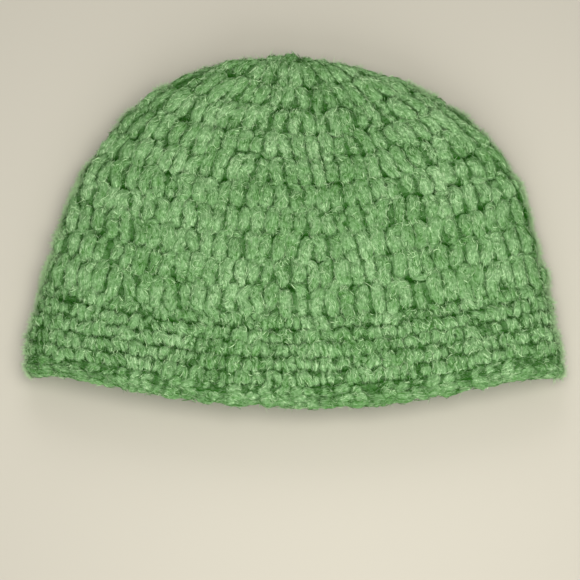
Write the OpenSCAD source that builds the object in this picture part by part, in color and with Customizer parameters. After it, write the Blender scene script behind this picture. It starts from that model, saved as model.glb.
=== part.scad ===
// A crocheted beanie laid flat, crown towards +Y and mouth towards -Y.
// The hat is worked in rounds from the crown down, and each round is one closed loop of fabric.
// The origin is the centre of the hat's footprint, on the floor that it lies on.

/* [Hat] */
// Width across the brim, laid flat
brim_w = 268; // [240:1:290]
// Length from the crown to the lowest point of the brim
hat_len = 203; // [190:1:225]
// Thickness of the whole hat, laid flat
lay_t = 24; // [22:0.5:32]

/* [Fabric] */
// Thickness of one layer of crocheted fabric
fabric_t = 6; // [4:0.25:6.5]
// Yarn diameter
yarn_d = 4; // [3:0.25:4.5]
// Gap between one round and the next
round_gap = 0.3; // [0.2:0.05:0.6]

/* [Rounds] */
// Radius of the first ring of chain at the crown
start_r = 5; // [4:0.5:6]
// Height of the edging round
edge_h = 8; // [6:0.5:9]
// Height of a short round of the band
short_h = 7.2; // [6:0.1:8]

/* [Hidden] */
TALL_ROUNDS = 11;
SHORT_ROUNDS = 5;
QUARTER = 13;                       // steps round a quarter of each loop
SEGMENTS = 4 * QUARTER;
half_t = (lay_t - fabric_t) / 2;    // from the mid height to the middle of a layer
mid_z = lay_t / 2;

// Roll of the crown: how far the fabric runs in Y before it lies flat, above and below
nose_top = 18;
nose_under = 12;
// Roll of the side folds: the most that it takes in X, above and below
fold_top = 36;
fold_under = 14;
// The lower layer's brim stays this far behind the upper one
tuck = 9;

// Side outline of the middle of the fabric: an ellipse that turns into a straight flare.
// The flare widens by this share of its length, and the ellipse is shallower than the hat is long.
flare = 0.14;
flare_len = 75.5;
outline_share = 0.54;
outline_a = brim_w / 2 - fabric_t / 2 - flare * flare_len;
outline_b = outline_share * hat_len;
flare_angle = atan(outline_a / (outline_b * flare));
// Stretch of the rounds along the fold, past their plain height
crown_stretch = 25.8;
stretch_reach = 50;
brim_stretch = 0.06;

function quarter_arc(a, b) = 90 * PI / 180 * sqrt((a * a + b * b) / 2);
top_arc = quarter_arc(nose_top, half_t);
under_arc = quarter_arc(nose_under, half_t);

// The crown's centre lies this far behind the top of the roll, on the lower layer's side
crown_back = 10;

// Half of the hole that's left when the first ring is drawn closed
ring_hole = 1.2;

// Distance along the fabric from the crown's centre to the brim, and the tall rounds' share of it
fabric_len = hat_len - fabric_t / 2 - nose_top + top_arc + crown_back;
band_start = fabric_len - edge_h - SHORT_ROUNDS * short_h;
tall_h = (band_start - start_r) / (TALL_ROUNDS + 0.1);
crown_y = hat_len / 2 - fabric_t / 2;

// Edges of the rounds, as distances from the crown's centre
first_r = start_r + tall_h * 0.1;
function tall_edge(k) = first_r + k * tall_h;
function short_edge(k) = band_start + k * short_h;

// The side fold: half width and Y, for a distance u along the fabric
mean_r = (outline_a + outline_b) / 2;
flare_from = flare_angle * PI / 180 * mean_r;
function along_fold(u) = u * (1 + brim_stretch) + crown_stretch * (1 - exp(-pow(u / stretch_reach, 2)));
function fold_angle(u) = min(along_fold(u) / mean_r * 180 / PI, flare_angle);
function flare_run(u) = max(along_fold(u) - flare_from, 0) / norm([1, flare]);
function fold_x(u) = outline_a * sin(fold_angle(u)) + flare * flare_run(u);
function fold_y(u) = crown_y - outline_b * (1 - cos(fold_angle(u))) - flare_run(u);

// The centre line of a layer: how far it has come from the crown in Y, and its height share.
// v is the distance from the top of the roll, and is negative on the other layer's side of it.
function centre_drop(v, nose, arc) =
    v < arc ? nose * (1 - cos(90 * v / arc)) : nose + v - arc;
function centre_rise(v, arc) = v < arc ? sin(90 * v / arc) : 1;
// The lower layer has further to go, so it is gathered by this much over its length
gather = 2 * crown_back + nose_under - nose_top + top_arc - under_arc;
function upper_v(u) = u - crown_back;
function under_v(u) = u + crown_back;
function upper_drop(u) =
    upper_v(u) < 0 ? centre_drop(-upper_v(u), nose_under, under_arc) : centre_drop(upper_v(u), nose_top, top_arc);
function upper_rise(u) =
    upper_v(u) < 0 ? -centre_rise(-upper_v(u), under_arc) : centre_rise(upper_v(u), top_arc);
function under_drop(u) =
    centre_drop(under_v(u), nose_under, under_arc)
    - gather * max(under_v(u) - under_arc, 0) / (under_v(fabric_len) - under_arc);
function under_rise(u) = -centre_rise(under_v(u), under_arc);
// Near the crown's centre the side folds come down to it, so that the first rounds stay open rings
crown_reach = 22;
crown_pull = [
    -centre_drop(crown_back, nose_under, under_arc),
    -centre_rise(crown_back, under_arc) * half_t
];
function pull(u) = crown_pull * exp(-pow(u / crown_reach, 2));

// Half of a loop, from the middle (w = 0) to the fold (w = 1): X, Y and the height above the mid height
function roll(r, most) = r * most / (r + most);
function straight_share(r, e) = (r - e) / (r - e + quarter_arc(e, half_t));
function half_loop(u, w, upper) =
    let (
        r = fold_x(u),
        e = roll(r, upper ? fold_top : fold_under),
        s = straight_share(r, e),
        bend = w < s ? 0 : 90 * (w - s) / (1 - s),
        x = w < s ? (r - e) * w / s : r - e + e * sin(bend),
        rise = (upper ? upper_rise(u) : under_rise(u)) * half_t * cos(bend) + pull(u)[1] * (1 - cos(bend)),
        side_y = fold_y(u) + pull(u)[0],
        sag = side_y - crown_y + (upper ? upper_drop(u) : under_drop(u)),
        tucked = upper ? 0 : tuck * pow(u / fabric_len, 2) * (1 - pow(x / r, 8))
    )
    [x, side_y - sag * (1 - pow(x / r, 2)) + tucked, rise];

// A point of the middle of the fabric, at distance u from the crown and q quarters round the loop
function fabric_point(u, q) =
    let (
        turn = q - 4 * floor(q / 4),
        w = turn < 1 ? turn : turn < 2 ? 2 - turn : turn < 3 ? turn - 2 : 4 - turn,
        p = half_loop(u, w, turn < 1 || turn >= 3)
    )
    [turn < 2 ? p[0] : -p[0], p[1], mid_z + p[2]];

function unit(v) = v / norm(v);
function inward(u, q) =
    let (
        along = fabric_point(u + 0.5, q) - fabric_point(u - 0.5, q),
        round = fabric_point(u, q + 0.02) - fabric_point(u, q - 0.02)
    )
    unit(cross(round, along));

// One closed loop of fabric between the distances u0 and u1, with chamfered edges
module fabric_loop(u0, u1, thick) {
    a = u0 + round_gap / 2;
    b = u1 - round_gap / 2;
    bevel = min(1.4, (b - a) / 4);
    half = thick / 2;
    edge = half - bevel * 0.8;
    profile = [
        [a, -edge], [a + bevel, -half], [b - bevel, -half], [b, -edge],
        [b, edge], [b - bevel, half], [a + bevel, half], [a, edge]
    ];
    sides = len(profile);
    points = [
        for (i = [0 : SEGMENTS - 1]) for (p = profile)
            fabric_point(p[0], i / QUARTER) + inward(p[0], i / QUARTER) * p[1]
    ];
    faces = [
        for (i = [0 : SEGMENTS - 1]) for (j = [0 : sides - 1])
            let (n = (i + 1) % SEGMENTS, m = (j + 1) % sides)
            [i * sides + j, n * sides + j, n * sides + m, i * sides + m]
    ];
    polyhedron(points = points, faces = faces, convexity = 10);
}

// A woven-in yarn end on the inner face of one layer, from distance u0 to u1 and over part of a quarter
module yarn_end(u0, u1, quarter0, quarter1, layer_q) {
    steps = 14;
    sides = 8;
    lift = fabric_t / 2 + yarn_d / 2 + 0.3;
    path = [
        for (i = [0 : steps])
            let (t = i / steps, u = u0 + (u1 - u0) * t, q = layer_q + quarter0 + (quarter1 - quarter0) * t * t)
            fabric_point(u, q) + inward(u, q) * lift
    ];
    points = [
        for (i = [0 : steps])
            let (
                ahead = unit(path[min(i + 1, steps)] - path[max(i - 1, 0)]),
                side = unit(cross([0, 0, 1], ahead)),
                up = cross(ahead, side),
                r = yarn_d / 2 * (i == 0 || i == steps ? 0.7 : 1)
            )
            for (k = [0 : sides - 1])
                path[i] + (side * cos(360 * k / sides) + up * sin(360 * k / sides)) * r
    ];
    faces = concat(
        [[for (k = [0 : sides - 1]) k]],
        [
            for (i = [0 : steps - 1]) for (k = [0 : sides - 1])
                let (m = (k + 1) % sides)
                [i * sides + k, (i + 1) * sides + k, (i + 1) * sides + m, i * sides + m]
        ],
        [[for (k = [sides - 1 : -1 : 0]) steps * sides + k]]
    );
    polyhedron(points = points, faces = faces, convexity = 4);
}

// The chain ring that the hat starts from, drawn almost closed and a little thinner than the fabric
module crown_start_ring() { color("#6d9a5c") fabric_loop(ring_hole, first_r - 2 * round_gap, fabric_t - 1); }

module crown_round(k) { color(k % 2 ? "#719a62" : "#7aa36b") fabric_loop(tall_edge(k - 1), tall_edge(k), fabric_t); }

module band_round(k) { color(k % 2 ? "#6b955c" : "#749e65") fabric_loop(short_edge(k - 1), short_edge(k), fabric_t); }

module edging_round() { color("#68915a") fabric_loop(short_edge(SHORT_ROUNDS), fabric_len, fabric_t); }

// The beginning of the yarn, woven along the inside of the lower layer near the crown
module start_tail() { color("#6f9961") yarn_end(24, 40, -0.05, -0.55, 2); }

// The end of the yarn, woven along the inside of the upper layer at the brim
module finish_tail() { color("#7da56d") yarn_end(fabric_len - 3, fabric_len - 14, 0.02, 0.38, 0); }

crown_start_ring();
crown_round(1);  // crown_round_01
crown_round(2);  // crown_round_02
crown_round(3);  // crown_round_03
crown_round(4);  // crown_round_04
crown_round(5);  // crown_round_05
crown_round(6);  // crown_round_06
crown_round(7);  // crown_round_07
crown_round(8);  // crown_round_08
crown_round(9);  // crown_round_09
crown_round(10);  // crown_round_10
crown_round(11);  // crown_round_11
band_round(1);  // band_round_01
band_round(2);  // band_round_02
band_round(3);  // band_round_03
band_round(4);  // band_round_04
band_round(5);  // band_round_05
edging_round();
start_tail();
finish_tail();
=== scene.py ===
"""A crocheted beanie of fuzzy chunky yarn, laid flat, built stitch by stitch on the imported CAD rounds.

Lengths are in millimetres until a mesh is made, because that is how yarn is measured. The fabric is described
by u, the distance from the crown's centre along the fabric, and q, the quarters gone round the loop (0 is the
middle of the upper layer, 1 the right fold, 2 the middle of the lower layer, 3 the left fold).
"""

import math

import bpy
import numpy as np
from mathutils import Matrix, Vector


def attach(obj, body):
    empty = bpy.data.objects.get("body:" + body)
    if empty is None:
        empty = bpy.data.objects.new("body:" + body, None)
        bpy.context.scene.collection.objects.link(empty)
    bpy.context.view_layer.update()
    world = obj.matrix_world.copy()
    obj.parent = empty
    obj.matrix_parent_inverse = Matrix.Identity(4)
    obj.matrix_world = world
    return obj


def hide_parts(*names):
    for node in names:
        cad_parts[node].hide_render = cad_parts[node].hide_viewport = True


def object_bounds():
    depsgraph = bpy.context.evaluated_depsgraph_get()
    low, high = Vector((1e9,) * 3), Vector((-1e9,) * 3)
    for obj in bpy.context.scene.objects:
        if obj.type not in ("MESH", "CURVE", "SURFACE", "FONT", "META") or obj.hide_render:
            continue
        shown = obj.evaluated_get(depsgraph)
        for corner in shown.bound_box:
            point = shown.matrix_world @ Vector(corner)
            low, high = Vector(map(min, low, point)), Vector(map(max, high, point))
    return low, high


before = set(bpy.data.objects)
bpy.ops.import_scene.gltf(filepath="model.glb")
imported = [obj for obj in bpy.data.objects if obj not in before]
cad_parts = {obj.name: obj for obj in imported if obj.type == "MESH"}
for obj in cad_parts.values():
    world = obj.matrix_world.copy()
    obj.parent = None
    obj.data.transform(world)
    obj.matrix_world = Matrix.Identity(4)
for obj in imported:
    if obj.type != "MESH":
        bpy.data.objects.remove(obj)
cad_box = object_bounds()

MM = 0.001

# ---------------------------------------------------------------- the hat's driving sizes, as in the CAD
TALL_ROUNDS = 11
SHORT_ROUNDS = 5
BRIM_W = 268.0
HAT_LEN = 203.0
LAY_T = 24.0
FABRIC_T = 6.0
START_R = 5.0
EDGE_H = 8.0
SHORT_H = 7.2
NOSE_TOP, NOSE_UNDER = 18.0, 12.0
FOLD_TOP, FOLD_UNDER = 36.0, 14.0
TUCK = 9.0
CROWN_BACK, CROWN_REACH = 10.0, 22.0
FLARE, FLARE_LEN = 0.14, 75.5
CROWN_STRETCH, STRETCH_REACH, BRIM_STRETCH = 25.8, 50.0, 0.06

# ---------------------------------------------------------------- the yarn's own sizes
STITCH_W = 7.4           # width of one stitch along its round
OVERLAP = 1.4            # how far the last tall round's stitches reach over the band
WANDER = 1.1             # how far stitches stray from their places, in step with their neighbours
WANDER_SIZE = 17.0       # the size of a patch of stitches that strays together
PRESS = 1.5              # yarn lower than this is squeezed against the floor
CREASE = 0.8             # depth of the creases between a strand's plies
FULL_W = 2.4             # a strand of this half width or more is as lumpy as it gets
TAIL_R = 1.75            # half the thickness of a yarn tail
# Where the outline lies further in than the CAD's: direction and spread in degrees round the hat's middle,
# and the share of the way to the middle
MIDDLE_Y = -45.0
UNEVEN = ((147, 28, 0.044), (73, 28, 0.038), (206, 9, 0.045))

# Relief is how far yarn is out of the middle of the fabric, and the less it is, the darker the yarn, as
# painted shade in the creases between the strands. Relief lower than INNER means the inner side, which isn't
# darkened.
INNER = -0.3
LIGHT_RELIEF = 3.4
# relief at which the painted crease shade is full, and at which there is none
DARKEST, LIGHTEST = 1.4, 3.3
ANY_DEPTH = -9.0

# Fibres for each square mm: the mat that lies on the yarn, the bright ones on it, painted pale as highlights,
# and the hairs that stand up all over and at the folds, those at the folds painted pale as a glow round the
# outline
MAT, STREAKS, HAIRS, HALO = 1.7, 0.11, 0.08, 0.50
MOST_TRIANGLES = 194000  # in one round
SPINDLE_TRIANGLES, SPIKE_TRIANGLES = 12, 10
# The quads and triangles of a lying fibre, thin at both ends, and of a standing one, thin at its tip
SPINDLE = (
    [[1, 2, 5, 4], [2, 3, 6, 5], [3, 1, 4, 6]],
    [[0, 2, 1], [0, 3, 2], [0, 1, 3], [4, 5, 7], [5, 6, 7], [6, 4, 7]],
)
SPIKE = (
    [[0, 1, 4, 3], [1, 2, 5, 4], [2, 0, 3, 5]],
    [[2, 1, 0], [3, 4, 6], [4, 5, 6], [5, 3, 6]],
)


def quarter_arc(a, b):
    """Roughly the length of a quarter of an ellipse with half axes a and b."""
    return math.pi / 2 * np.sqrt((a * a + b * b) / 2)


HALF_T = (LAY_T - FABRIC_T) / 2
MID_Z = LAY_T / 2
TOP_ARC, UNDER_ARC = quarter_arc(NOSE_TOP, HALF_T), quarter_arc(NOSE_UNDER, HALF_T)
FABRIC_LEN = HAT_LEN - FABRIC_T / 2 - NOSE_TOP + TOP_ARC + CROWN_BACK
BAND_START = FABRIC_LEN - EDGE_H - SHORT_ROUNDS * SHORT_H
TALL_H = (BAND_START - START_R) / (TALL_ROUNDS + 0.1)
FIRST_R = START_R + TALL_H * 0.1
CROWN_Y = HAT_LEN / 2 - FABRIC_T / 2
OUTLINE_A = BRIM_W / 2 - FABRIC_T / 2 - FLARE * FLARE_LEN
OUTLINE_B = 0.54 * HAT_LEN
MEAN_R = (OUTLINE_A + OUTLINE_B) / 2
FLARE_ANGLE = math.atan(OUTLINE_A / (OUTLINE_B * FLARE))
FLARE_FROM = FLARE_ANGLE * MEAN_R
GATHER = 2 * CROWN_BACK + NOSE_UNDER - NOSE_TOP + TOP_ARC - UNDER_ARC
LEAST_U = 0.3            # nothing is worked out nearer to the crown's centre than this


# ---------------------------------------------------------------- the fabric's surface
def along_fold(u):
    """Distance along the side fold, which is stretched near the crown."""
    return u * (1 + BRIM_STRETCH) + CROWN_STRETCH * (1 - np.exp(-((u / STRETCH_REACH) ** 2)))


def fold_place(u):
    """Half width and Y of the side fold."""
    angle = np.minimum(along_fold(u) / MEAN_R, FLARE_ANGLE)
    run = np.maximum(along_fold(u) - FLARE_FROM, 0) / math.hypot(1, FLARE)
    x = OUTLINE_A * np.sin(angle) + FLARE * run
    return x, CROWN_Y - OUTLINE_B * (1 - np.cos(angle)) - run


def centre_line(v, nose, arc):
    """How far the middle of a layer has come from the crown in Y, and its share of the height."""
    turn = np.pi / 2 * np.clip(v / arc, 0, 1)
    drop = np.where(v < arc, nose * (1 - np.cos(turn)), nose + v - arc)
    return drop, np.sin(turn)


def upper_line(u):
    """The upper layer's centre line, which starts behind the top of the roll."""
    v = u - CROWN_BACK
    drop, rise = centre_line(v, NOSE_TOP, TOP_ARC)
    back_drop, back_rise = centre_line(-v, NOSE_UNDER, UNDER_ARC)
    return np.where(v < 0, back_drop, drop), np.where(v < 0, -back_rise, rise)


def under_line(u):
    """The lower layer's centre line, gathered so that it doesn't end past the upper one."""
    v = u + CROWN_BACK
    drop, rise = centre_line(v, NOSE_UNDER, UNDER_ARC)
    drop = drop - GATHER * np.maximum(v - UNDER_ARC, 0) / (FABRIC_LEN + CROWN_BACK - UNDER_ARC)
    return drop, -rise


def fabric_point(u, q):
    """Points of the middle of the fabric."""
    u, q = np.broadcast_arrays(np.asarray(u, float), np.asarray(q, float))
    u = np.maximum(u, LEAST_U)
    turn = q % 4
    w = np.where(turn < 1, turn, np.where(turn < 2, 2 - turn, np.where(turn < 3, turn - 2, 4 - turn)))
    upper = (turn < 1) | (turn >= 3)
    r, fold_y = fold_place(u)
    most = np.where(upper, FOLD_TOP, FOLD_UNDER)
    e = r * most / (r + most)
    share = (r - e) / (r - e + quarter_arc(e, HALF_T))
    bend = np.where(w < share, 0, np.pi / 2 * (w - share) / (1 - share))
    x = np.where(w < share, (r - e) * w / share, r - e + e * np.sin(bend))
    upper_drop, upper_rise = upper_line(u)
    under_drop, under_rise = under_line(u)
    pull_y, pull_z = pull(u)
    fold_y = fold_y + pull_y
    sag = fold_y - CROWN_Y + np.where(upper, upper_drop, under_drop)
    tucked = np.where(upper, 0, TUCK * (u / FABRIC_LEN) ** 2 * (1 - (x / r) ** 8))
    y = fold_y - sag * (1 - (x / r) ** 2) + tucked
    rise = np.where(upper, upper_rise, under_rise) * HALF_T * np.cos(bend) + pull_z * (1 - np.cos(bend))
    return np.stack([np.where(turn < 2, x, -x), y, MID_Z + rise], -1)


def unit(v):
    """Vectors of length 1."""
    return v / np.maximum(np.linalg.norm(v, axis=-1, keepdims=True), 1e-9)


def pull(u):
    """Near the crown's centre the side folds come down to it, in Y and in height."""
    near = np.exp(-((u / CROWN_REACH) ** 2))
    drop, rise = centre_line(CROWN_BACK, NOSE_UNDER, UNDER_ARC)
    return -drop * near, -rise * HALF_T * near


def outward(u, q):
    """Unit normals that point out of the hat."""
    along = fabric_point(u + 0.5, q) - fabric_point(np.maximum(u - 0.5, LEAST_U), q)
    around = fabric_point(u, q + 0.02) - fabric_point(u, q - 0.02)
    return unit(np.cross(along, around))


class Loop:
    """One round: turns a distance along its middle line into q, so that stitches are evenly spaced."""

    def __init__(self, u0, u1):
        self.u0, self.u1 = u0, u1
        self.q = np.linspace(0, 4, 801)
        line = fabric_point(np.full_like(self.q, (u0 + u1) / 2), self.q)
        steps = np.linalg.norm(np.diff(line, axis=0), axis=1)
        self.run = np.concatenate([[0], np.cumsum(steps)])
        self.girth = self.run[-1]

    def quarter(self, s):
        """q at the distance s along the round."""
        return np.interp(np.mod(s, self.girth), self.run, self.q)

    def place(self, s, b, c):
        """Points at distance s round the loop, b down from the round's start and c out of the fabric."""
        u = self.u0 + b
        q = self.quarter(s)
        n = outward(u, q)
        return fabric_point(u, q) + n * c[..., None], n


# ---------------------------------------------------------------- noise without images
def hashed(i, j, k, seed):
    """A fixed jumble of whole numbers, as numbers from -1 to 1."""
    h = (i * 374761393 + j * 668265263 + k * 2147483647 + seed * 1274126177) & 0xFFFFFFFF
    h = ((h ^ (h >> 13)) * 1274126177) & 0xFFFFFFFF
    return ((h ^ (h >> 16)) & 0xFFFF) / 32767.5 - 1


def lumps(p, size, seed):
    """Smooth value noise from -1 to 1 at points p, with lumps of the given size."""
    g = p / size
    base = np.floor(g).astype(np.int64)
    f = g - base
    f = f * f * (3 - 2 * f)
    total = np.zeros(p.shape[:-1])
    for dx in (0, 1):
        for dy in (0, 1):
            for dz in (0, 1):
                weight = (
                    (f[..., 0] if dx else 1 - f[..., 0])
                    * (f[..., 1] if dy else 1 - f[..., 1])
                    * (f[..., 2] if dz else 1 - f[..., 2])
                )
                total += weight * hashed(base[..., 0] + dx, base[..., 1] + dy, base[..., 2] + dz, seed)
    return total


def spline(points, count):
    """Catmull-Rom through control points along axis -2, sampled at count places."""
    points = np.asarray(points, float)
    n = points.shape[-2]
    first = 2 * points[..., :1, :] - points[..., 1:2, :]
    last = 2 * points[..., -1:, :] - points[..., -2:-1, :]
    padded = np.concatenate([first, points, last], axis=-2)
    t = np.linspace(0, n - 1, count)
    k = np.minimum(t.astype(int), n - 2)
    f = (t - k)[:, None]
    p0, p1, p2, p3 = (padded[..., k + i, :] for i in range(4))
    return 0.5 * (
        2 * p1 + (p2 - p0) * f + (2 * p0 - 5 * p1 + 4 * p2 - p3) * f**2 + (3 * p1 - p0 - 3 * p2 + p3) * f**3
    )


def settle(p):
    """The hat lies a little unevenly: draws it in towards its middle by the direction from there."""
    x, y = p[:, 0], p[:, 1] - MIDDLE_Y
    angle = np.degrees(np.arctan2(y, x))
    scale = np.ones(len(p))
    for toward, spread, share in UNEVEN:
        away = (angle - toward + 180) % 360 - 180
        scale -= share * np.exp(-((away / spread) ** 2))
    return np.column_stack([x * scale, y * scale + MIDDLE_Y, p[:, 2]])


def rest_on_floor(p):
    """Soft yarn that would go through the floor is pressed flat just above it."""
    z = p[:, 2]
    pressed = np.where(z < PRESS, PRESS * np.exp((np.minimum(z, PRESS) - PRESS) / PRESS), z)
    return np.column_stack([p[:, :2], pressed])


# ---------------------------------------------------------------- meshes
def corners(middle, across, up, r):
    """The three corners of a thin fibre's section."""
    turns = [2 * math.pi * corner / 3 for corner in range(3)]
    return [middle + (across * math.cos(turn) + up * math.sin(turn)) * r for turn in turns]


class Yarn:
    """Gathers tubes and fibres, and makes one mesh object of them."""

    def __init__(self, seed):
        self.verts, self.quads, self.tris, self.caps = [], [], [], []
        self.strand, self.tone, self.relief = [], [], []
        self.count = 0
        self.rng = np.random.default_rng(seed)
        self.seed = seed
        self.roots = []

    def add(self, verts, strand, tone, relief):
        """Adds points and what the material needs to know at each, and says what number the first one has."""
        start = self.count
        self.verts.append(verts)
        self.strand.append(strand)
        self.tone.append(tone)
        self.relief.append(relief)
        self.count += len(verts)
        return start

    def tubes(
        self, path, normal, lift, wide, deep, tone, sides=10, closed=False, square=2.6, least=ANY_DEPTH
    ):
        """Sweeps fat flattened yarn along many paths at once. path is (tubes, rings, 3), and lift is its
        relief, (tubes, rings). square is how boxy a section is, 2 for an ellipse, and least the least
        relief."""
        tubes, rings = path.shape[:2]
        if closed:
            ahead = unit(np.roll(path, -1, 1) - np.roll(path, 1, 1))
        else:
            ahead = unit(np.gradient(path, axis=1))
        side = unit(np.cross(ahead, normal))
        up = np.cross(side, ahead)
        phi = np.arange(sides) * 2 * math.pi / sides
        cos, sin = np.cos(phi), np.sin(phi)
        swell = (np.abs(cos) ** square + np.abs(sin) ** square) ** (-1 / square)
        cx, cy = cos * swell, sin * swell
        across = side[:, :, None] * (cx * wide[..., None])[..., None]
        radial = across + up[:, :, None] * (cy * deep[..., None])[..., None]
        verts = path[:, :, None] + radial
        out = unit(radial)
        bulge = lumps(verts, 3.2, self.seed) * 0.55 + lumps(verts, 1.6, self.seed + 7) * 0.33
        bulge = bulge - CREASE * np.maximum(1 - 7 * np.abs(lumps(verts, 6.5, self.seed + 9)), 0)
        verts = verts + out * (bulge * np.minimum(wide, FULL_W)[..., None] / FULL_W)[..., None]
        run = np.cumsum(np.linalg.norm(np.diff(path, axis=1, prepend=path[:, :1]), axis=-1), axis=1)
        offset = self.rng.uniform(0, 400, (tubes, 1))
        strand = np.stack(
            [
                np.broadcast_to((run + offset)[..., None], (tubes, rings, sides)),
                cos * wide[..., None],
                sin * deep[..., None],
            ],
            -1,
        )
        tones = np.broadcast_to(tone[:, None, None], (tubes, rings, sides))
        # relief sets the painted crease shade in the material: the lower, the darker; the inner side gets
        # none
        relief = lift[..., None] + np.einsum("trsk,trk->trs", verts - path[:, :, None], normal)
        relief = np.where(relief < INNER, LIGHT_RELIEF, np.maximum(relief, least))
        start = self.add(verts.reshape(-1, 3), strand.reshape(-1, 3), tones.reshape(-1), relief.reshape(-1))
        index = start + np.arange(tubes * rings * sides).reshape(tubes, rings, sides)
        if closed:
            a, b = index, np.roll(index, -1, 1)
        else:
            a, b = index[:, :-1], index[:, 1:]
        quad = np.stack([a, np.roll(a, -1, 2), np.roll(b, -1, 2), b], -1)
        self.quads.append(quad.reshape(-1, 4))
        if not closed:
            self.caps.append(index[:, 0, ::-1].reshape(-1, sides))
            self.caps.append(index[:, -1].reshape(-1, sides))
        facing = np.einsum("trsk,trk->trs", out, normal)
        upright = np.broadcast_to(np.abs(normal[..., 2:]), facing.shape)
        self.roots.append(
            (
                verts.reshape(-1, 3),
                out.reshape(-1, 3),
                np.broadcast_to(ahead[:, :, None], verts.shape).reshape(-1, 3),
                facing.reshape(-1),
                upright.reshape(-1),
                tones.reshape(-1),
                relief.reshape(-1),
            )
        )

    def lining(self, loop, height, low=-1.7, high=2.6, shade=0.42, share=4):
        """The matted strands in the middle of the fabric, one closed band that follows the hat's surface. It
        gets painted shade as if it lay deeper than it does by shade, and share is how readily fibres grow on
        it."""
        rings = max(int(loop.girth / 1.8), 24)
        down = np.linspace(-0.3, height + 0.3, 6)
        b = np.concatenate([down, down[::-1]])
        c = np.concatenate([np.full(6, high), np.full(6, low)])
        c[[0, 5, 6, 11]] *= 0.6
        sides = len(b)
        s = np.linspace(0, loop.girth, rings, endpoint=False)[:, None] + 0 * b
        verts, normal = loop.place(s, np.broadcast_to(b, s.shape), np.broadcast_to(c, s.shape))
        away = normal * np.sign(c)[:, None]
        verts = verts + away * lumps(verts, 2.6, self.seed + 3)[..., None]
        strand = np.stack([np.broadcast_to(b, s.shape), s, np.broadcast_to(c, s.shape)], -1)
        shape = (rings * sides,)
        # the lining's outer side gets painted crease shade; its inner side gets none
        relief = np.broadcast_to(np.where(c < 0, LIGHT_RELIEF, c - shade), s.shape).reshape(shape)
        start = self.add(verts.reshape(-1, 3), strand.reshape(-1, 3), np.zeros(shape), relief)
        top = slice(1, 5)
        around = np.broadcast_to(unit(np.roll(verts, -1, 0) - verts)[:, top], (rings, 4, 3)).reshape(-1, 3)
        level = np.full(rings * 4, high - shade)
        out = normal[:, top].reshape(-1, 3)
        ones = np.ones(rings * 4)
        self.roots += [(verts[:, top].reshape(-1, 3), out, around, ones, ones, level * 0, level)] * share
        index = start + np.arange(rings * sides).reshape(rings, sides)
        ahead = np.roll(index, -1, 0)
        quad = np.stack([index, np.roll(index, -1, 1), np.roll(ahead, -1, 1), ahead], -1)
        self.quads.append(quad.reshape(-1, 4))

    def pick_roots(self, count, inner, edges=None):
        """Random places on the strands, fewer of them on the inner side and under the hat. With edges they
        gather at the folds, that many times more readily."""
        base, out, ahead, facing, upright, tone, relief = (np.concatenate(a) for a in zip(*self.roots))
        weight = np.where(facing > -0.1, 1.0, inner) * np.where(out[:, 2] < -0.5, 0.3, 1.0)
        if edges:
            weight = weight * np.where((facing > 0.2) & (upright < 0.6), edges, 1.0)
        pick = self.rng.choice(len(base), count, p=weight / weight.sum())
        return base[pick], out[pick], ahead[pick], tone[pick], relief[pick]

    def lying(self, count, length, thick, wander, curl, brighten, spread, inner=0.2):
        """Fibres that lie on the yarn and bridge its creases, thin at both ends."""
        rng = self.rng
        base, out, ahead, tone, relief = self.pick_roots(count, inner)
        across = np.cross(out, ahead)
        nudge = rng.uniform(-1.1, 1.1, (2, count, 1))
        centre = base + ahead * nudge[0] + across * nudge[1] + out * rng.uniform(-0.15, 0.45, (count, 1))
        angle = rng.normal(0, wander, (count, 1))
        heading = unit(ahead * np.cos(angle) + across * np.sin(angle) + out * rng.normal(0, 0.10, (count, 1)))
        sideways = np.cross(heading, out)
        half = rng.uniform(*length, (count, 1)) / 2
        bend = sideways * rng.normal(0, curl, (count, 1)) - out * rng.uniform(0.0, 0.22, (count, 1))
        r = thick * rng.uniform(0.6, 1.35, (count, 1))
        sections = [centre - heading * half + bend * half]
        for t in (-0.4, 0.4):
            middle = centre + heading * half * t + bend * half * t * t
            sections += corners(middle, sideways, out, r)
        sections.append(centre + heading * half + bend * half)
        tone = tone + brighten + rng.normal(0, spread, count)
        # lying fibres take a little more painted crease shade than the yarn they lie on
        self.add_fibres(np.stack(sections, 1), SPINDLE, tone, relief - 0.2)

    def standing(self, count, length, thick, rise, stand, curl, brighten, edges):
        """Fine hairs that leave the yarn. With edges they gather at the folds, as the hat's soft outline."""
        rng = self.rng
        base, out, ahead, tone, relief = self.pick_roots(count, 0.2, edges)
        across = np.cross(out, ahead)
        lay = unit(ahead * rng.normal(0, 1, (count, 1)) + across * rng.normal(0, 1, (count, 1)))
        heading = unit(lay + out * (rise + np.abs(rng.normal(0, stand, (count, 1)))))
        sideways = unit(np.cross(heading, out))
        up = np.cross(sideways, heading)
        long = rng.uniform(*length, (count, 1))
        bend = sideways * rng.normal(0, curl, (count, 1)) - out * rng.uniform(0.0, 0.3, (count, 1))
        r = thick * rng.uniform(0.6, 1.3, (count, 1))
        sections = []
        for t, size in ((0.0, 1.0), (0.55, 0.75)):
            middle = base - out * 0.2 * (1 - t) + heading * long * t + bend * long * t * t
            sections += corners(middle, sideways, up, r * size)
        sections.append(base + heading * long + bend * long)
        tone = tone + brighten + rng.normal(0, 0.3, count)
        # standing hairs are lifted clear of the painted crease shade
        self.add_fibres(np.stack(sections, 1), SPIKE, tone, relief + 3)

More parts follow.
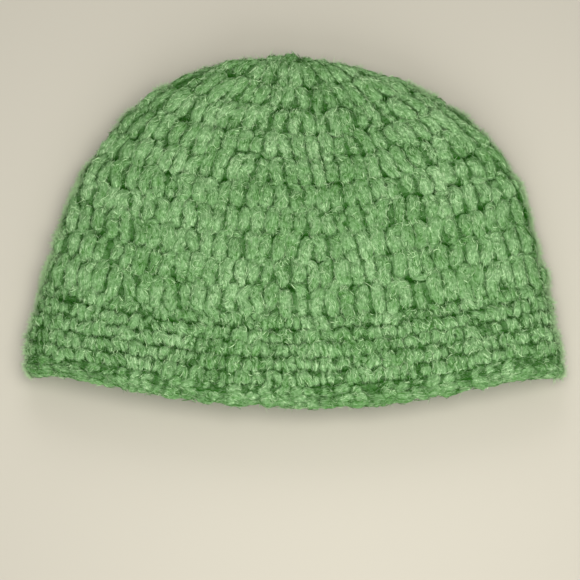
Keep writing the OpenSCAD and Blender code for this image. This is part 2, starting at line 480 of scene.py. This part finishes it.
    def add_fibres(self, verts, faces, tone, relief):
        """Adds fibres of one kind: verts is (fibres, corners, 3), with one tone and relief for each fibre."""
        count, per = verts.shape[:2]
        strand = np.zeros(verts.shape)
        strand[..., 0] = self.rng.uniform(0, 400, (count, 1))
        tones = np.broadcast_to(tone[:, None], (count, per))
        reliefs = np.broadcast_to(relief[:, None], (count, per))
        first = self.add(verts.reshape(-1, 3), strand.reshape(-1, 3), tones.reshape(-1), reliefs.reshape(-1))
        i = first + per * np.arange(count)[:, None]
        for quad in faces[0]:
            self.quads.append(i + np.array(quad))
        for tri in faces[1]:
            self.tris.append(i + np.array(tri))

    def make(self, name, material):
        """One mesh object of all that was gathered."""
        verts = rest_on_floor(settle(np.concatenate(self.verts))) * MM
        quads = np.concatenate(self.quads)
        groups = [quads, np.concatenate(self.tris)] + self.caps
        mesh = bpy.data.meshes.new(name)
        mesh.vertices.add(len(verts))
        mesh.vertices.foreach_set("co", verts.astype(np.float32).ravel())
        order = np.concatenate([g.ravel() for g in groups]).astype(np.int32)
        sizes = np.concatenate([np.full(len(g), g.shape[1]) for g in groups])
        starts = np.concatenate([[0], np.cumsum(sizes)[:-1]]).astype(np.int32)
        mesh.loops.add(len(order))
        mesh.loops.foreach_set("vertex_index", order)
        mesh.polygons.add(len(sizes))
        mesh.polygons.foreach_set("loop_start", starts)
        mesh.update(calc_edges=True)
        mesh.validate()
        mesh.polygons.foreach_set("use_smooth", np.ones(len(mesh.polygons), bool))
        for label, kind, part, values in (
            ("strand", "FLOAT_VECTOR", "vector", self.strand),
            ("tone", "FLOAT", "value", self.tone),
            ("relief", "FLOAT", "value", self.relief),
        ):
            attribute = mesh.attributes.new(label, kind, "POINT")
            attribute.data.foreach_set(part, np.concatenate(values).astype(np.float32).ravel())
        piece = bpy.data.objects.new(name, mesh)
        bpy.context.scene.collection.objects.link(piece)
        mesh.materials.append(material)
        return piece


# ---------------------------------------------------------------- stitches
def stitch_row(yarn, loop, count, strands, height, shift, wild, least):
    """Works count stitches round a loop, the first of them shift stitches along. A strand is (control points,
    half widths, half depths, rings, sides, sink), with its points in stitch widths, round heights and mm out
    of the fabric. sink is the share of stitches that hide the strand, and wild how irregular the round is."""
    rng = yarn.rng
    width = loop.girth / count
    spot = (np.arange(count) + shift + rng.normal(0, 0.055, count)) * width
    middle = fabric_point(np.full(count, (loop.u0 + loop.u1) / 2), loop.quarter(spot))
    lean = rng.normal(0.05, 0.10 * wild, count) + 0.30 * wild * lumps(middle, 30.0, 11)
    grow = rng.normal(1, 0.06 * wild, count)
    drop = rng.normal(0, 0.06 * wild, count)
    out = rng.normal(0, 0.35 * wild, count)
    tone = rng.normal(0, 0.07, count)
    flip = rng.choice([1.0, -1.0], count, p=[0.7, 0.3])
    for points, wide, deep, rings, sides, sink in strands:
        stray = rng.normal(0, wild, (count, len(points), 3)) * [0.07, 0.04, 0.35]
        control = np.asarray(points, float)[None] + stray
        control[..., 2] -= (rng.random(count) < sink)[:, None] * 2.0
        local = spline(control, rings)
        a = local[..., 0] * flip[:, None] + lean[:, None] * (local[..., 1] - 0.5)
        b = (local[..., 1] + drop[:, None]) * height
        c = local[..., 2] + out[:, None]
        s = spot[:, None] + a * width
        around = fabric_point(loop.u0 + b, loop.quarter(s))
        s = s + WANDER * lumps(around, WANDER_SIZE, 21)
        b = b + WANDER * lumps(around, WANDER_SIZE, 22)
        path, normal = loop.place(s, b, c)
        t = np.linspace(0, 1, rings)
        w = np.interp(t, np.linspace(0, 1, len(wide)), wide)
        d = np.interp(t, np.linspace(0, 1, len(deep)), deep)
        scale = (grow * rng.normal(1, 0.05, count))[:, None]
        tones = tone + rng.normal(0, 0.05, count)
        yarn.tubes(path, normal, c, w * scale * width / STITCH_W, d * scale, tones, sides, least=least)


# A tall stitch: a fat post, a strand wrapped over its top at a slant, and the loop that joins it to the next
TALL = [
    ([(0.14, -0.10, -0.4), (0.07, 0.06, 1.1), (-0.03, 0.32, 1.8),
      (-0.05, 0.62, 1.9), (0.00, 0.90, 1.5), (0.02, 1.10, 0.1)],
     (2.2, 3.55, 3.75, 3.7, 3.2, 1.6), (1.4, 2.7, 3.0, 3.0, 2.5, 1.1), 20, 12, 0.0),
    ([(-0.50, 0.36, -0.6), (-0.30, 0.23, 1.3), (0.00, 0.10, 2.3), (0.30, -0.02, 1.7), (0.48, -0.10, -0.2)],
     (1.4, 2.3, 2.6, 2.3, 1.4), (1.2, 1.7, 1.9, 1.7, 1.2), 11, 9, 0.4),
    ([(-0.62, 0.90, -0.6), (-0.40, 0.98, 1.2), (-0.10, 1.02, 1.5), (0.30, 0.92, -0.8)],
     (1.3, 2.1, 2.1, 1.3), (1.2, 1.7, 1.7, 1.2), 8, 8, 0.12),
]
# A short stitch: two plump legs that stay within their round
SHORT = [
    ([(0.02, -0.12, -0.2), (-0.08, 0.12, 1.5), (-0.20, 0.48, 2.2), (-0.30, 0.84, 1.5), (-0.34, 1.06, -0.2)],
     (1.5, 2.3, 2.5, 2.3, 1.4), (1.1, 2.0, 2.3, 2.0, 1.1), 12, 10, 0.0),
    ([(0.08, -0.10, -0.2), (0.15, 0.16, 1.4), (0.23, 0.52, 2.0), (0.27, 0.86, 1.4), (0.26, 1.08, -0.2)],
     (1.5, 2.2, 2.4, 2.2, 1.4), (1.1, 2.0, 2.3, 2.0, 1.1), 12, 10, 0.0),
]
# An edging stitch: the two strands of a V that lies along the edge, and the strand rolled over the edge
EDGE = [
    ([(-0.70, 0.56, -0.6), (-0.34, 0.40, 1.0), (0.10, 0.22, 1.4), (0.46, 0.08, 0.6), (0.66, 0.00, -0.8)],
     (1.7, 2.7, 3.0, 2.7, 1.7), (1.2, 1.9, 2.1, 1.9, 1.2), 11, 10, 0.0),
    ([(-0.72, 0.52, -0.6), (-0.30, 0.62, 0.9), (0.15, 0.72, 1.1), (0.50, 0.80, 0.6), (0.76, 0.84, -0.6)],
     (1.6, 2.6, 2.8, 2.6, 1.6), (1.2, 1.9, 2.1, 1.9, 1.2), 11, 10, 0.0),
    ([(-0.66, 0.84, -0.9), (-0.22, 0.90, -0.2), (0.25, 0.92, -0.2), (0.72, 0.86, -0.9)],
     (1.8, 2.5, 2.5, 1.8), (1.8, 2.4, 2.4, 1.8), 10, 10, 0.0),
]


# ---------------------------------------------------------------- materials
# The painted shade green deep between the strands, and the yarn's own greens on them from its darkest fibres
# to its palest
CREASE_SHADE, DARK = (0.022, 0.142, 0.007), (0.068, 0.235, 0.034)
LIGHT, PALE = (0.327, 0.573, 0.259), (0.64, 0.92, 0.50)


def yarn_material(name):
    """Fuzzy spun yarn: streaks along the strand, soft blotches, painted shade in the creases, sheen and a
    fine bump.
    """
    mat = bpy.data.materials.new(name)
    mat.use_nodes = True
    nodes, links = mat.node_tree.nodes, mat.node_tree.links
    nodes.clear()
    output = nodes.new("ShaderNodeOutputMaterial")
    shader = nodes.new("ShaderNodeBsdfPrincipled")
    links.new(shader.outputs["BSDF"], output.inputs["Surface"])
    shader.inputs["Roughness"].default_value = 0.9
    shader.inputs["Specular IOR Level"].default_value = 0.06
    shader.inputs["Sheen Weight"].default_value = 0.08
    shader.inputs["Sheen Roughness"].default_value = 0.45
    shader.inputs["Sheen Tint"].default_value = (0.45, 0.95, 0.35, 1)

    def attribute(kind):
        node = nodes.new("ShaderNodeAttribute")
        node.attribute_name = kind
        return node

    def noise(vector, scale, detail, roughness=0.6, distortion=0.0):
        node = nodes.new("ShaderNodeTexNoise")
        node.inputs["Scale"].default_value = scale
        node.inputs["Detail"].default_value = detail
        node.inputs["Roughness"].default_value = roughness
        node.inputs["Distortion"].default_value = distortion
        links.new(vector, node.inputs["Vector"])
        return node.outputs["Fac"]

    def math_node(kind, *values):
        node = nodes.new("ShaderNodeMath")
        node.operation = kind
        for socket, value in zip(node.inputs, values):
            if isinstance(value, (int, float)):
                socket.default_value = value
            else:
                links.new(value, socket)
        return node.outputs[0]

    stretch = nodes.new("ShaderNodeMapping")
    stretch.inputs["Scale"].default_value = (0.22, 1.0, 1.0)
    links.new(attribute("strand").outputs["Vector"], stretch.inputs["Vector"])
    fibres = noise(stretch.outputs["Vector"], 1.5, 5, 0.7, 0.8)
    place = nodes.new("ShaderNodeTexCoord").outputs["Object"]
    blotch = noise(place, 45, 2)
    fluff = noise(place, 620, 4, 0.7)

    mixed = 0.57
    for pattern, strength in ((fibres, 2.0), (blotch, 0.7), (fluff, 1.1)):
        mixed = math_node("MULTIPLY_ADD", math_node("SUBTRACT", pattern, 0.5), strength, mixed)
    mixed = math_node("MULTIPLY_ADD", attribute("tone").outputs["Fac"], 0.3, mixed)
    ramp = nodes.new("ShaderNodeValToRGB")
    stops = ramp.color_ramp.elements
    stops[0].position, stops[0].color = 0.18, (*DARK, 1)
    stops[1].position, stops[1].color = 1.0, (*PALE, 1)
    stop = stops.new(0.74)
    stop.color = (*LIGHT, 1)
    links.new(mixed, ramp.inputs["Fac"])

    # painted shade: the deeper a place lies between the strands, the darker and richer its green, for the
    # shade there
    depth = nodes.new("ShaderNodeMapRange")
    depth.interpolation_type = "SMOOTHSTEP"
    depth.inputs["From Min"].default_value = DARKEST
    depth.inputs["From Max"].default_value = LIGHTEST
    links.new(attribute("relief").outputs["Fac"], depth.inputs["Value"])
    mix = nodes.new("ShaderNodeMix")
    mix.data_type = "RGBA"
    links.new(depth.outputs["Result"], mix.inputs["Factor"])
    for socket in mix.inputs:
        if socket.name == "A" and socket.type == "RGBA":
            socket.default_value = (*CREASE_SHADE, 1)
        if socket.name == "B" and socket.type == "RGBA":
            links.new(ramp.outputs["Color"], socket)
    colour = next(socket for socket in mix.outputs if socket.type == "RGBA")
    links.new(colour, shader.inputs["Base Color"])

    def bump(pattern, strength, distance, onto):
        node = nodes.new("ShaderNodeBump")
        node.inputs["Strength"].default_value = strength
        node.inputs["Distance"].default_value = distance
        links.new(pattern, node.inputs["Height"])
        links.new(node.outputs["Normal"], onto.inputs["Normal"])
        return node

    streaks = bump(fibres, 0.9, 0.0010, shader)
    bump(fluff, 1.0, 0.0016, streaks)
    return mat


def floor_material():
    """A plain pale surface without gloss."""
    mat = bpy.data.materials.new("pale_floor")
    mat.use_nodes = True
    shader = mat.node_tree.nodes["Principled BSDF"]
    shader.inputs["Base Color"].default_value = (0.545, 0.515, 0.432, 1)
    shader.inputs["Roughness"].default_value = 0.9
    return mat


# ---------------------------------------------------------------- camera, light and floor
def make_camera():
    """Looks down at the flat hat from the mouth's side, 68 degrees above the floor."""
    elevation = math.radians(68)
    distance = 0.62
    target = Vector((-0.0012, -0.0387, MID_Z * MM))
    back = Vector((0, -math.cos(elevation), math.sin(elevation)))
    data = bpy.data.cameras.new("camera")
    data.lens, data.sensor_width = 75.5, 36
    camera = bpy.data.objects.new("camera", data)
    camera.location = target + back * distance
    camera.rotation_euler = (-back).to_track_quat("-Z", "Y").to_euler()
    bpy.context.scene.collection.objects.link(camera)
    bpy.context.scene.camera = camera


def area_light(name, place, size, power, colour):
    """A round soft lamp that faces the hat."""
    data = bpy.data.lights.new(name, "AREA")
    data.shape, data.size, data.energy, data.color = "DISK", size, power, colour
    light = bpy.data.objects.new(name, data)
    light.location = place
    light.visible_camera = False
    light.rotation_euler = (-Vector(place)).to_track_quat("-Z", "Y").to_euler()
    bpy.context.scene.collection.objects.link(light)


def make_light():
    """A window over the hat, weaker light from both ends, and an even sky."""
    area_light("window", (0.05, -0.14, 0.38), 0.26, 0.90, (1.0, 0.985, 0.95))
    area_light("back", (-0.2, 2.0, 1.25), 1.6, 16.0, (1.0, 1.0, 1.0))
    area_light("fill", (0.0, -2.2, 0.92), 1.6, 40.0, (1.0, 1.0, 1.0))
    world = bpy.data.worlds.new("world")
    world.use_nodes = True
    world.node_tree.nodes["Background"].inputs["Color"].default_value = (1.0, 0.99, 0.97, 1)
    world.node_tree.nodes["Background"].inputs["Strength"].default_value = 0.48
    bpy.context.scene.world = world
    bpy.context.scene.view_settings.view_transform = "Standard"


def make_floor():
    """What the hat lies on, wide enough to have its edge far behind in the low views."""
    bpy.ops.mesh.primitive_plane_add(size=40, location=(0, 0, cad_box[0].z))
    floor = bpy.context.object
    floor.name = "floor"
    floor.data.materials.append(floor_material())


# ---------------------------------------------------------------- the hat
SLOTS = ("crown_yarn", "band_yarn", "edging_yarn", "yarn_ends")
MATERIALS = {slot: yarn_material(slot + "_fuzzy") for slot in SLOTS}


def finish_piece(yarn, node, slot):
    """Makes the piece that stands for a CAD node."""
    piece = yarn.make(node + "_yarn", MATERIALS[slot])
    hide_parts(node)
    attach(piece, "root")


def add_fuzz(yarn, area):
    """Fibres for an area of fabric. The mat gets what is left of the triangles where they run short."""
    spent = sum(2 * len(quads) for quads in yarn.quads)
    spent += sum(len(cap) * (cap.shape[1] - 2) for cap in yarn.caps)
    spent += int(area * STREAKS) * SPINDLE_TRIANGLES + int(area * (HAIRS + HALO)) * SPIKE_TRIANGLES
    mat = min(int(area * MAT), (MOST_TRIANGLES - spent) // SPINDLE_TRIANGLES)
    yarn.lying(mat, (2.2, 5.5), 0.18, 0.55, 0.6, 0.0, 2.0)
    # the streaks are painted highlights: sparse fibres brightened towards PALE, for the glints on shiny
    # fibres
    yarn.lying(int(area * STREAKS), (2.5, 5.5), 0.20, 0.9, 1.1, 3.2, 0.5)
    yarn.standing(int(area * HAIRS), (1.2, 3.0), 0.07, 0.2, 0.8, 0.5, 1.0, None)
    # the halo hairs at the folds are painted pale, a painted glow of light round the hat's outline
    yarn.standing(int(area * HALO), (1.8, 4.8), 0.075, 0.9, 0.7, 0.4, 4.0, 300.0)


def make_round(node, slot, u0, u1, strands, seed, shift, wild, short=0.0, least=ANY_DEPTH):
    """One round of the hat, from u0 to u1. short is how much of the lining is left out at the round's end."""
    yarn = Yarn(seed)
    loop = Loop(u0, u1)
    count = max(int(round(loop.girth / STITCH_W)), 9)
    stitch_row(yarn, loop, count, strands, u1 - u0, shift, wild, least)
    yarn.lining(loop, u1 - u0 - short)
    add_fuzz(yarn, loop.girth * (u1 - u0))
    finish_piece(yarn, node, slot)


def make_start_ring():
    """Two closed strands, one on the other, round the crown's centre."""
    yarn = Yarn(5)
    loop = Loop(1.5, FIRST_R)
    turns = np.linspace(0, 1, 40, endpoint=False)[None]
    size = np.full(turns.shape, 1.9)
    for b, c in ((2.2, 0.6), (1.6, -1.2)):
        path, normal = loop.place(turns * loop.girth, np.full(turns.shape, b), np.full(turns.shape, c))
        lift = np.full(turns.shape, c + 1.8)
        yarn.tubes(path, normal, lift, size, size * 0.85, np.zeros(1), closed=True)
    add_fuzz(yarn, 150)
    finish_piece(yarn, "crown_start_ring", "crown_yarn")


def make_tail(node, u0, u1, q0, q1, seed):
    """A yarn end that lies against the inside of the fabric, from u0 and q0 to u1 and q1."""
    yarn = Yarn(seed)
    t = np.linspace(0, 1, 40)
    u = u0 + (u1 - u0) * t
    q = q0 + (q1 - q0) * t * t
    normal = outward(u, q)
    path = fabric_point(u, q) - normal * (FABRIC_T / 2 + 2.2)
    size = TAIL_R * np.interp(t, [0, 0.04, 0.96, 1], [0.5, 1, 1, 0.5])[None]
    lift = np.full(size.shape, LIGHT_RELIEF)
    yarn.tubes(path[None], normal[None], lift, size, size, np.full(1, 0.1), square=2.0)
    yarn.lying(260, (2.0, 5.0), 0.14, 0.4, 0.3, 0.0, 0.4, inner=1.0)
    finish_piece(yarn, node, "yarn_ends")


make_camera()
make_light()
make_floor()
make_start_ring()
for k in range(TALL_ROUNDS):
    start = FIRST_R + k * TALL_H
    end = start + TALL_H + (OVERLAP if k == TALL_ROUNDS - 1 else 0)
    node = f"crown_round_{k + 1:02d}"
    make_round(node, "crown_yarn", start, end, TALL, seed=100 + k, shift=0.37 * k, wild=1.0)
for k in range(SHORT_ROUNDS):
    start = BAND_START + k * SHORT_H
    node = f"band_round_{k + 1:02d}"
    make_round(node, "band_yarn", start, start + SHORT_H, SHORT, seed=200 + k, shift=0.43 * k, wild=0.85)
# least=2.6 keeps the painted crease shade light on the edging strands
make_round(
    "edging_round", "edging_yarn", FABRIC_LEN - EDGE_H, FABRIC_LEN, EDGE,
    seed=300, shift=0.2, wild=0.8, short=3.6, least=2.6,
)
make_tail("start_tail", 24, 40, 1.95, 1.45, seed=401)
make_tail("finish_tail", FABRIC_LEN - 3, FABRIC_LEN - 14, 0.02, 0.38, seed=402)
